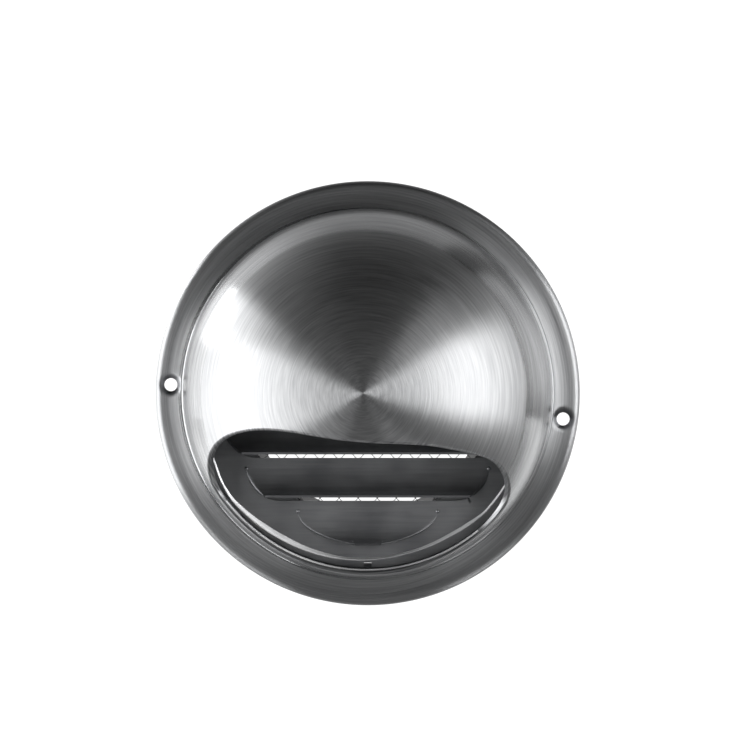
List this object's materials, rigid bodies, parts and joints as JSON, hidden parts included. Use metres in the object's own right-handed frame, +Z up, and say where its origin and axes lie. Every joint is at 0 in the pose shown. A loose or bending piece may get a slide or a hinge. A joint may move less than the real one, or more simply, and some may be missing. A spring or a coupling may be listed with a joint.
{
  "type": "cowl vent",
  "caption": "Round stainless steel wall or hull vent: a spun hood with a downward mouth over a pressed louvre plate, with an insect screen and a duct spigot behind.",
  "frame": {"origin": "on the duct axis, in the plane of the wall face that the flange bears on", "axes": "+Z up, +Y into the wall along the duct, the hood stands out towards -Y, +X to the right seen from in front"},
  "size_m": [0.13, 0.083, 0.13],
  "materials": {
    "brushed_hood": "brushed in fine rings round the axis",
    "pressed_plate": "mill satin",
    "screen_wire": "drawn wire",
    "rolled_tube": "mill satin",
    "weld": "as welded"
  },
  "bodies": {
    "root": {"hood_shell": "brushed_hood", "louvre_plate": "pressed_plate", "insect_screen": "screen_wire", "spigot_tube": "rolled_tube", "spigot_collar": "rolled_tube", "plate_tack_1": "weld", "plate_tack_2": "weld", "plate_tack_3": "weld", "plate_tack_4": "weld", "collar_tack_1": "weld", "collar_tack_2": "weld", "collar_tack_3": "weld", "collar_tack_4": "weld"}
  },
  "joints": []
}
